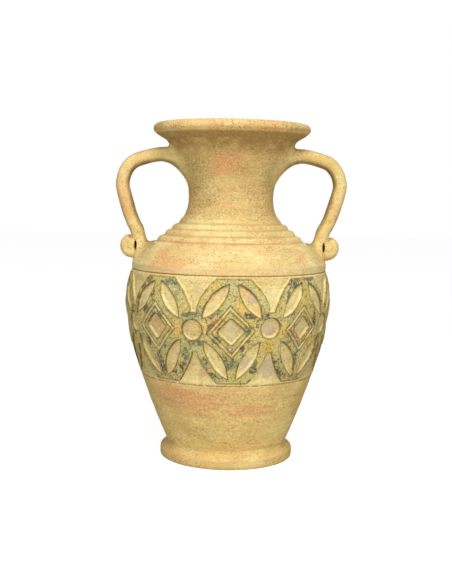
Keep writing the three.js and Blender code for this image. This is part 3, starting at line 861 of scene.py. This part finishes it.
def crossings(field, inside):
    """The middle of the surface's crossings in each cell that has some, and these cells' numbers."""
    count = sum(inside[tuple(slice(i, i - 1 or None) for i in corner)].astype(int)
                for corner in np.ndindex(2, 2, 2))
    cells = np.argwhere((count > 0) & (count < 8))
    number = np.full(count.shape, -1)
    number[tuple(cells.T)] = np.arange(len(cells))
    spots, hits = np.zeros((len(cells), 3)), np.zeros(len(cells))
    for axis in range(3):
        others = [other for other in range(3) if other != axis]
        for step in np.ndindex(2, 2):
            start = cells.copy()
            start[:, others] += step
            end = start.copy()
            end[:, axis] += 1
            a, b = field[tuple(start.T)], field[tuple(end.T)]
            crossing = (a < 0) != (b < 0)
            spot = start.astype(float)
            spot[:, axis] += np.where(crossing, a / np.where(crossing, a - b, 1), 0)
            spots[crossing] += spot[crossing]
            hits[crossing] += 1
    return spots / hits[:, None], number


def surface(field, origin, step):
    """A closed mesh of quads round the places where a grid of values is below 0."""
    inside = field < 0
    spots, number = crossings(field, inside)
    unit, quads = np.eye(3, dtype=int), []
    for axis in range(3):
        u, v = unit[(axis + 1) % 3], unit[(axis + 2) % 3]
        core = inside[tuple(slice(None) if i == axis else slice(1, -1) for i in range(3))]
        change = np.diff(core.astype(int), axis=axis)
        for way in (-1, 1):
            edge = np.argwhere(change == way) + u + v
            ring = [number[tuple((edge - move).T)] for move in (0 * u, u, u + v, v)]
            quads.append(stacked(*ring[::-way]))
    return origin + step * spots, np.vstack(quads)


def eye_spread(x, z):
    """Below 1 in the slit that the curl leaves beside the strap."""
    return np.hypot((x - SLIT_X) / SLIT_WIDTH, (z - SLIT_Z) / SLIT_HEIGHT)


def handle_mesh():
    """Vertices and faces of the right-hand handle."""
    x = np.arange(GRID_X, HANDLE_REACH + 6, VOXEL)[:, None, None]
    y = np.arange(-GRID_Y, GRID_Y + VOXEL, VOXEL)[:, None]
    z = np.arange(SHOULDER_Z + 1, LIP_Z + 2, VOXEL)
    across = np.abs(y)
    strap = strap_distance(*strap_section(x, z), across)
    web = np.maximum(np.hypot(x - CURL_X, z - CURL_Z) - CURL_RADIUS, across - WEB_HALF)
    plug = strap_distance(np.hypot(x - PLUG_X, z - CURL_Z), PLUG_RADIUS, PLUG_HALF, across)

    table = pot_distance(TABLE_RADII[:, None], z)
    place = (np.hypot(x, y)[..., 0] - TABLE_RADII[0]) / TABLE_STEP
    index = np.clip(place.astype(int), 0, len(TABLE_RADII) - 2)
    pot = lerp(table[index], table[index + 1], (place - index)[..., None])

    points = stacked(x, y, z)
    rough = 0.25 * noise(points, 14, 40) + 0.1 * noise(points, 4, 41)
    field = handle_field(np.minimum.reduce([strap, web, plug]), pot, x, z, rough)
    slit = (eye_spread(x, z) - 1) * SLIT_WIDTH
    field = np.maximum(field, -np.maximum(slit, SLIT_BED - across))
    return surface(field, points[0, 0, 0], VOXEL)


def make_handle(name, vertices, quads, side):
    """A handle with its painted shade. The left one is the right one turned half round."""
    shape = mesh_object(name, vertices * [side, side, 1], quads)
    normals = np.empty(vertices.size, np.float32)
    shape.data.vertex_normals.foreach_get("vector", normals)
    normals = normals.reshape(-1, 3) * [side, side, 1]
    x, z = vertices[:, 0], vertices[:, 2]
    to_loop = stacked(LOOP_X - x, LOOP_Z - z)
    to_loop /= np.linalg.norm(to_loop, axis=1, keepdims=True)
    facing = (normals[:, ::2] * to_loop).sum(1)
    # Painted shade: strongest on faces turned towards the loop, weaker on the outer faces
    shade = np.maximum(0.75 * smooth(0.4, 0.95, facing), 0.4 * smooth(0.75, 1, -facing))
    shade *= smooth(LOOP_X - 27, LOOP_X - 15, x)
    # Painted shadow in the slit beside the curl
    give(shape, "shade", np.maximum(shade, smooth(1.7, 1, eye_spread(x, z))))
    return shape


# Patterns: size of the lumps in mm, detail, roughness, seed, the noise's values between which the pattern
# ramps, its strengths at these, and how much the place is stretched across and up
PATTERNS = {
    "blotches": (34, 4, 0.6, 1, 0.36, 0.64, 0, 1),
    "pink": (24, 4, 0.65, 2, 0.46, 0.62, 0, 1, 1, 2.6),
    "streaks": (2.2, 4, 0.75, 3, 0.46, 0.6, 0, 1, 0.06, 1),
    "grey": (5, 4, 0.65, 4, 0.52, 0.72, 0, 1, 0.06, 1),
    "olive": (20, 4, 0.65, 5, 0.35, 0.65, 0.4, 1),
    "red sand": (1.3, 3, 0.75, 6, 0.51, 0.62, 0, 0.55, 0.6, 1),
    "dark sand": (1.2, 3, 0.75, 7, 0.51, 0.62, 0, 0.58, 0.6, 1),
    "light sand": (1.4, 2, 0.7, 8, 0.53, 0.62, 0, 0.45),
    "crumbly": (1.9, 4, 0.75, 9, 0.38, 0.58, 0.3, 1),
    "brushed": (2.2, 3, 0.7, 12, 0.35, 0.6, 0.45, 1, 0.12, 1),
    "thick": (16, 3, 0.6, 13, 0.38, 0.62, 0.35, 1, 0.5, 1),
    "rubbed paint": (2.6, 5, 0.75, 20, 0.34, 0.54, 0.3, 1),
    "specks": (1.7, 3, 0.75, 21, 0.54, 0.6, 0, 0.8),
    "yellow crumbs": (1.9, 3, 0.7, 22, 0.55, 0.61, 0, 0.6),
    "broken": (4, 4, 0.65, 24, 0.36, 0.54, 0.5, 1),
    "worn": (6, 4, 0.65, 25, 0.38, 0.58, 0.1, 0.6),
    # Breaks up the painted shade on the neck's top
    "neck shade": (9, 6, 0.75, 26, 0.38, 0.58, 0.45, 1),
    "ragged": (5, 4, 0.7, 27, 0.38, 0.56, 0.1, 0.9),
    "loop shade": (9, 4, 0.65, 28, 0.35, 0.6, 0.6, 1),
    "rubbed red": (1.5, 3, 0.7, 29, 0.5, 0.62, 0, 1, 0.5, 1),
    "glints": (7, 3, 0.6, 30, 0.38, 0.6, 0.15, 0.6),
    # Breaks up the painted shade under the lip
    "lip shade": (2, 4, 0.75, 31, 0.38, 0.58, 0.6, 1),
}
# Bumps of the sand: size in mm, detail, roughness, seed, and height in mm
BUMPS = ((3.4, 2, 0.5, 10, 0.35), (0.9, 3, 0.6, 11, 0.22))
CLAY_ROUGHNESS = 0.92
CLAY_SPECULAR = 0.2


class Brush:
    """Short words for the shader nodes of a material or world."""

    def __init__(self, owner):
        owner.use_nodes = True
        self.owner = owner
        self.tree = owner.node_tree
        self.tree.nodes.clear()

    def feed(self, socket, value):
        if isinstance(value, bpy.types.NodeSocket):
            self.tree.links.new(value, socket)
        elif socket.type == "RGBA":
            socket.default_value = (*value, 1)
        else:
            socket.default_value = value

    def add(self, kind, inputs=(), **settings):
        """A node with these settings, each of its inputs being a value or another node's output."""
        node = self.tree.nodes.new("ShaderNode" + kind)
        for setting, value in settings.items():
            setattr(node, setting, value)
        for socket, value in dict(inputs).items():
            self.feed(node.inputs[socket], value)
        return node

    def place(self):
        """Where a point lies in the object's own coordinates."""
        node = self.tree.nodes.get("place") or self.add("TexCoord", name="place")
        return node.outputs["Object"]

    def noise(self, size, detail, rough, seed, place):
        """Noise whose lumps are about size millimetres across."""
        inputs = {"Vector": place, "W": seed, "Scale": 1 / (size * MM), "Detail": detail, "Roughness": rough}
        return self.add("TexNoise", inputs, noise_dimensions="4D").outputs["Fac"]

    def ramp(self, value, start, end, least, most):
        inputs = {"Value": value, "From Min": start, "From Max": end, "To Min": least, "To Max": most}
        return self.add("MapRange", inputs, interpolation_type="SMOOTHSTEP").outputs["Result"]

    def pattern(self, name, strength=1):
        """One of the patterns, with its strengths times this one."""
        size, detail, rough, seed, start, end, least, most, *stretch = PATTERNS[name]
        place = self.place()
        if stretch:
            inputs = {"Vector": place, "Scale": (stretch[0], *stretch)}
            place = self.add("Mapping", inputs, vector_type="POINT").outputs["Vector"]
        value = self.noise(size, detail, rough, seed, place)
        return self.ramp(value, start, end, least * strength, most * strength)

    def level(self, nothing, all_of_it, strength=1):
        """0 at the first height in millimetres, and this strength at the second."""
        height = self.add("SeparateXYZ", {"Vector": self.place()}).outputs["Z"]
        return self.ramp(height, nothing * MM, all_of_it * MM, 0, strength)

    def attribute(self, name, output="Fac"):
        return self.add("Attribute", attribute_name=name).outputs[output]

    def share(self, operation, *parts):
        """Shares worked into one. Each is a number, an output, or the name of a pattern or attribute."""
        whole = None
        for part in parts:
            if isinstance(part, str):
                part = self.pattern(part) if part in PATTERNS else self.attribute(part)
            pair = {0: whole, 1: part}
            whole = part if whole is None else self.add("Math", pair, operation=operation).outputs["Value"]
        return whole

    def mix(self, share, a, b):
        inputs = {"Factor": share, "A": a, "B": b}
        return self.add("Mix", inputs, data_type="RGBA", clamp_factor=True).outputs["Result"]

    def coat(self, colour, *shares):
        """Lays a colour over the one so far, as strongly as all the shares times each other."""
        self.colour = self.mix(self.share("MULTIPLY", *shares), self.colour, colour)

    def finish(self):
        """The material: matte, in the colour so far, and with bumps of sand."""
        looks = {"Base Color": self.colour, "Roughness": CLAY_ROUGHNESS, "Specular IOR Level": CLAY_SPECULAR}
        bumps = {}
        for *pattern, height in BUMPS:
            value = self.noise(*pattern, self.place())
            inputs = {"Strength": 1, "Distance": height * MM, "Height": value, **bumps}
            bumps = {"Normal": self.add("Bump", inputs).outputs["Normal"]}
        shader = self.add("BsdfPrincipled", {**looks, **bumps})
        self.add("OutputMaterial", {"Surface": shader.outputs["BSDF"]})
        return self.owner


def clay(name, tint, pink, streaks, olive=0, grains=1):
    """A brush on sandy clay: blotches, dry-brushed pink and streaks, grey bands, darker places that are
    partly painted shade, and grains.
    """
    brush = Brush(bpy.data.materials.new(name))
    brush.colour, buff = [tuple(a * b for a, b in zip(colour, tint)) for colour in (PALE, BUFF)]
    brush.coat(buff, "blotches")
    if olive:
        brush.coat(OLIVE, brush.pattern("olive", olive))
    crumbly = brush.pattern("crumbly")
    blush = brush.pattern("pink", pink), brush.pattern("streaks", streaks), "blush"
    brush.coat(PINK, brush.share("MAXIMUM", *blush), "brushed", crumbly)
    grey = brush.pattern("grey", 0.22 + 0.3 * streaks)
    # Grey bands and darker places: partly the clay's own tint, partly painted shade down the sides
    brush.coat(OLIVE, brush.share("MAXIMUM", grey, "soil_and_shade"), crumbly)
    thick = brush.pattern("thick")
    brush.coat(TERRACOTTA, brush.pattern("red sand", grains), thick)
    brush.coat(RUST_BROWN, brush.pattern("dark sand", grains), thick)
    brush.coat(CREAM, brush.pattern("light sand", grains))
    return brush


def foot_clay():
    return clay("foot", (1, 0.99, 0.92), pink=0.3, streaks=0.75, olive=0.1, grains=0.9).finish()


def wall_clay():
    return clay("wall", (1.07, 1.04, 0.88), pink=0.35, streaks=0.65, grains=0.95).finish()


def shoulder_clay():
    """Painted highlight on its upright wall, painted shade in the throwing grooves (reddish in the lowest),
    and dark at its foot.
    """
    # Its tint is paler and less yellow than the wall's: partly a painted highlight on the upward-facing
    # shoulder
    brush = clay("shoulder", (1.02, 1.06, 1.15), pink=0.3, streaks=0.75, grains=0.95)
    # Painted highlight: the upright wall is made paler towards its foot
    brush.coat(SHOULDER_WALL_LIGHT, brush.level(SHOULDER_Z + 11, SHOULDER_Z + 3, 0.35))
    # Painted shade in the throwing grooves: olive in the upper ones, reddish in the lowest
    groove_shade_colour = brush.mix(brush.level(NECK_Z - 15, NECK_Z - 19), OLIVE, TERRACOTTA)
    brush.coat(groove_shade_colour, "groove", 0.55)
    brush.coat(UMBER, brush.level(SHOULDER_Z + 1.3, SHOULDER_Z + 0.4, 0.75))
    return brush.finish()


def neck_clay():
    """Brown towards the top: painted shade under the lip, with some red rubbed in there."""
    brush = clay("neck", (1.05, 1.03, 1.03), pink=0.4, streaks=0.6, olive=0.2, grains=1.15)
    under = brush.level(LIP_Z - 22, LIP_Z - 2, 0.85)
    # Painted shade under the lip
    brush.coat(UNDER_LIP_SHADE, under, "neck shade")
    brush.coat(TERRACOTTA, under, brush.pattern("rubbed red", 0.35))
    return brush.finish()


def lip_clay():
    """Painted shade underneath, like the neck's top."""
    brush = clay("lip", (1, 0.96, 0.9), pink=0.7, streaks=0.6, grains=1.2)
    # Painted shade on the lip's underside
    brush.coat(UNDER_LIP_SHADE, brush.level(LIP_Z + 7.4, LIP_Z + 5, 0.85), "lip shade")
    return brush.finish()


def handle_clay():
    """Smoother than the pot, with painted shade on the faces towards the loop and a painted shadow in the
    curl's eye.
    """
    brush = clay("handle", (1, 0.98, 0.95), pink=0.4, streaks=0, olive=0.08, grains=0.75)
    shade = brush.attribute("shade")
    brush.coat(LOOP_SHADE, shade, "loop shade")
    # Painted shadow in the curl's eye
    brush.coat(EYE_SHADOW, brush.ramp(shade, 0.8, 1, 0, 0.95))
    return brush.finish()


def frieze_clay():
    """Carved clay whose ribbons are washed with colour, rubbed back and speckled."""
    brush = clay("frieze", (1.04, 1.05, 1.03), pink=0.15, streaks=0.1)
    paint, cover = [brush.attribute("paint", output) for output in ("Color", "Alpha")]
    brush.coat(paint, "rubbed paint", cover)
    brush.coat(PITCH, "specks", "ribbon")
    brush.coat(YELLOW_CRUMB, "yellow crumbs", "ribbon")
    brush.coat(WORN_RIDGE, "ridge", "worn")
    brush.coat(GLINT, "lit", "glints")
    # Dark outlines: drawn lines, with painted shade on the cuts' upper edges
    brush.coat(INCISED_AND_SHADE, "line", "broken")
    brush.coat(FIRED_RED, brush.level(FRIEZE_Z + 2.2, FRIEZE_Z + 0.6), "ragged")
    return brush.finish()


# Stage, in metres and watts. The floor glows where it is seen, except for a share that shows the shadow.
FLOOR_SIZE = 12
FLOOR_GREY = (0.6, 0.6, 0.6)
FLOOR_GLOW = 1.34
FLOOR_GLOW_SHARE = 0.7
WHITE = (1, 1, 1)
WORLD_LIGHT = 0.24
LAMP_AIM = Vector((0, 0, 0.2))
LAMPS = {"key": ((0.1, -1.0, 1.8), 0.9, 25), "front": ((0.1, -2.4, 0.5), 1.8, 31)}

# The camera, fitted to the photograph: its place in metres, its turns in degrees round its own axes, and its
# lens in millimetres
CAMERA_PLACE = (0, -1.0156, 0.27375)
CAMERA_TURNS = ((0.133, "Z"), (84.335, "X"), (0.95, "Z"))
CAMERA_LENS = 59.55
CAMERA_SENSOR = 36


def backdrop(brush, lit, seen, share=1):
    """A background whose look to the camera, mirrors and glass is not the light that it gives."""
    rays = brush.add("LightPath").outputs
    kinds = ("Camera", "Glossy", "Transmission")
    direct = brush.share("MAXIMUM", *[rays[f"Is {kind} Ray"] for kind in kinds])
    inputs = {"Fac": brush.share("MULTIPLY", direct, share), 1: lit.outputs[0], 2: seen.outputs[0]}
    return {"Surface": brush.add("MixShader", inputs).outputs["Shader"]}


def make_floor():
    bpy.ops.mesh.primitive_plane_add(size=FLOOR_SIZE)
    floor = bpy.context.object
    floor.name = "floor"
    brush = Brush(bpy.data.materials.new("floor"))
    grey = brush.add("BsdfDiffuse", {"Color": FLOOR_GREY})
    glow = brush.add("Emission", {"Color": WHITE, "Strength": FLOOR_GLOW})
    brush.add("OutputMaterial", backdrop(brush, grey, glow, FLOOR_GLOW_SHARE))
    floor.data.materials.append(brush.owner)


def make_world():
    world = bpy.data.worlds.new("studio")
    bpy.context.scene.world = world
    brush = Brush(world)
    soft = brush.add("Background", {"Color": WHITE, "Strength": WORLD_LIGHT})
    white = brush.add("Background", {"Color": WHITE, "Strength": 1})
    brush.add("OutputWorld", backdrop(brush, soft, white))


def make_lamp(name, place, width, power):
    """A square soft lamp, aimed at the vase's belly."""
    data = bpy.data.lights.new(name, "AREA")
    data.size = width
    data.energy = power
    lamp = placed(name, data)
    lamp.location = place
    lamp.rotation_euler = (LAMP_AIM - Vector(place)).to_track_quat("-Z", "Y").to_euler()


def make_camera():
    """The photograph's viewpoint: a step back, a little below the rim, and rolled a hair."""
    turned = Matrix()
    for degrees, axis in CAMERA_TURNS:
        turned @= Matrix.Rotation(math.radians(degrees), 4, axis)
    data = bpy.data.cameras.new("camera")
    data.lens = CAMERA_LENS
    data.sensor_width = CAMERA_SENSOR
    camera = placed("camera", data)
    camera.matrix_world = Matrix.Translation(CAMERA_PLACE) @ turned
    bpy.context.scene.camera = camera


def patched(places, patches, seed):
    """How strongly placed patches cover each place. Their edges wander along the throwing."""
    x, y, z = places.T
    turn, radius = np.arctan2(x, -y), np.hypot(x, y)
    drawn = places * [1, 1, 5]
    wander = 0.5 * noise(drawn, 18, seed) + 0.25 * noise(drawn, 6, seed + 2)
    cover = np.zeros_like(z)
    for degrees, height, wide, high, strength in patches:
        spread = np.hypot(swung(turn, degrees) * radius / wide, (z - height) / high) + wander
        cover = np.maximum(cover, strength * smooth(1.6, 0.2, spread))
    return cover


def dress(shape, node, material):
    """Puts a piece in the place of its CAD node."""
    places = np.array([v.co for v in shape.data.vertices]) / MM
    give(shape, "blush", patched(places, BLUSHES, 50))
    give(shape, "soil_and_shade", patched(places, SOILS_AND_SHADE, 51))
    shape.data.materials.append(material)
    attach(shape, "root")
    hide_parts(node)


dress(make_foot(), "foot", foot_clay())
dress(make_lower_wall(), "lower_wall", wall_clay())
dress(make_frieze(), "frieze_band", frieze_clay())
dress(make_shoulder(), "shoulder", shoulder_clay())
dress(make_neck(), "neck", neck_clay())
dress(make_lip(), "lip", lip_clay())
strap_clay = handle_clay()
handle = handle_mesh()
dress(make_handle("vase_handle_right", *handle, 1), "handle_right", strap_clay)
dress(make_handle("vase_handle_left", *handle, -1), "handle_left", strap_clay)

make_floor()
make_world()
for lamp_name, lamp_looks in LAMPS.items():
    make_lamp(lamp_name, *lamp_looks)
make_camera()
bpy.context.scene.view_settings.view_transform = "Standard"
